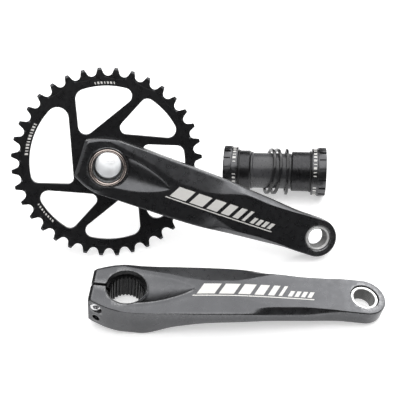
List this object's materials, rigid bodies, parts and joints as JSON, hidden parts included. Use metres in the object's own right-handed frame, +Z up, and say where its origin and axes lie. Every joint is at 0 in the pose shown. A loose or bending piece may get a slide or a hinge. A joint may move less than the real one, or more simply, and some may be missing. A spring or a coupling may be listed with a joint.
{
  "type": "bicycle crankset",
  "caption": "Hollow-axle bicycle crankset laid out as a kit: drive arm with direct-mount narrow-wide chainring and axle, clamp-on left arm and a threaded external bottom bracket.",
  "frame": {"origin": "on the surface the kit lies on, under the middle of its bounding box", "axes": "+Z up; the drive arm's outer face leans back and looks towards -Y; the arms run towards +X; the axle points to +Y and down"},
  "size_m": [0.2616, 0.2452, 0.1287],
  "materials": {
    "black_anodised": "satin black anodised aluminium with fine blasted grain; edges catch a light grey line",
    "chainring_black": "satin black anodised 7075 plate, bare-edge tooth bevels",
    "machined_silver": "bright turned aluminium, concentric tool marks",
    "axle_steel": "polished and plated steel tube, ground outside",
    "bronze_anodised": "champagne bronze anodised bevel ring",
    "black_steel": "black oxide steel screws",
    "bolt_steel": "bright zinc plated socket screw",
    "bearing_steel": "ground bearing steel",
    "seal_rubber": "smooth black nitrile rubber",
    "spacer_black": "glossy black moulded ring",
    "cap_plastic": "satin black moulded plastic",
    "sleeve_plastic": "dark grey moulded plastic tube, faint draw lines along it"
  },
  "bodies": {
    "drive_crank": {"drive_arm": "black_anodised", "drive_pedal_insert": "machined_silver", "bore_trim_ring": "bronze_anodised", "axle": "axle_steel", "chainring": "chainring_black", "chainring_bolt_1": "black_steel", "chainring_bolt_2": "black_steel", "chainring_bolt_3": "black_steel"},
    "left_crank": {"left_arm": "black_anodised", "left_pedal_insert": "machined_silver"},
    "pinch_bolt_front": {"pinch_bolt_front": "bolt_steel"},
    "pinch_bolt_rear": {"pinch_bolt_rear": "bolt_steel"},
    "bb_shield": {"bb_sleeve": "sleeve_plastic"},
    "spacer_1": {"spacer_ring_1": "spacer_black"},
    "spacer_2": {"spacer_ring_2": "spacer_black"},
    "spacer_3": {"spacer_ring_3": "spacer_black"},
    "cup_left": {"bb_cup_left": "black_anodised", "outer_race_left": "bearing_steel", "outer_seal_left": "seal_rubber", "inner_seal_left": "seal_rubber", "flange_oring_left": "seal_rubber"},
    "bearing_left": {"inner_race_left": "bearing_steel", "dust_cap_left": "cap_plastic"},
    "balls_left": {"ball_cage_left": "bearing_steel"},
    "cup_right": {"bb_cup_right": "black_anodised", "outer_race_right": "bearing_steel", "outer_seal_right": "seal_rubber", "inner_seal_right": "seal_rubber", "flange_oring_right": "seal_rubber"},
    "bearing_right": {"inner_race_right": "bearing_steel", "dust_cap_right": "cap_plastic"},
    "balls_right": {"ball_cage_right": "bearing_steel"}
  },
  "joints": [
    {"name": "left_crank_lift", "type": "slide", "parent": "drive_crank", "child": "left_crank", "axis": [0, 0, 1], "range_m": [0, 0.1]},
    {"name": "bb_lift", "type": "slide", "parent": "drive_crank", "child": "bb_shield", "axis": [0, 0, 1], "range_m": [0, 0.1]},
    {"name": "pinch_bolt_front_out", "type": "slide", "parent": "left_crank", "child": "pinch_bolt_front", "axis": [-0.2368, -0.9715, 0], "range_m": [0, 0.028]},
    {"name": "pinch_bolt_rear_out", "type": "slide", "parent": "left_crank", "child": "pinch_bolt_rear", "axis": [0.2368, 0.9715, 0], "range_m": [0, 0.028]},
    {"name": "cup_left_out", "type": "slide", "parent": "bb_shield", "child": "cup_left", "axis": [-0.9511, 0.309, 0], "range_m": [0, 0.022]},
    {"name": "bearing_left_spin", "type": "hinge", "parent": "cup_left", "child": "bearing_left", "pos_m": [0.0465, 0.04735, 0.021], "axis": [0.9511, -0.309, 0], "continuous": true},
    {"name": "balls_left_spin", "type": "hinge", "parent": "cup_left", "child": "balls_left", "pos_m": [0.0465, 0.04735, 0.021], "axis": [0.9511, -0.309, 0], "continuous": true},
    {"name": "cup_right_out", "type": "slide", "parent": "bb_shield", "child": "cup_right", "axis": [0.9511, -0.309, 0], "range_m": [0, 0.022]},
    {"name": "bearing_right_spin", "type": "hinge", "parent": "cup_right", "child": "bearing_right", "pos_m": [0.11973, 0.02355, 0.021], "axis": [0.9511, -0.309, 0], "continuous": true},
    {"name": "balls_right_spin", "type": "hinge", "parent": "cup_right", "child": "balls_right", "pos_m": [0.11973, 0.02355, 0.021], "axis": [0.9511, -0.309, 0], "continuous": true},
    {"name": "spacer_1_slide", "type": "slide", "parent": "bb_shield", "child": "spacer_1", "axis": [0.9511, -0.309, 0], "range_m": [-0.007, 0.002]},
    {"name": "spacer_2_slide", "type": "slide", "parent": "bb_shield", "child": "spacer_2", "axis": [0.9511, -0.309, 0], "range_m": [-0.007, 0.002]},
    {"name": "spacer_3_slide", "type": "slide", "parent": "bb_shield", "child": "spacer_3", "axis": [0.9511, -0.309, 0], "range_m": [-0.007, 0.002]}
  ],
  "couplings": [
    {"joint": "balls_left_spin", "follows": "bearing_left_spin", "ratio": 0.461},
    {"joint": "balls_right_spin", "follows": "bearing_right_spin", "ratio": 0.461},
    {"joint": "spacer_2_slide", "follows": "spacer_1_slide", "ratio": 1},
    {"joint": "spacer_3_slide", "follows": "spacer_1_slide", "ratio": 1}
  ]
}
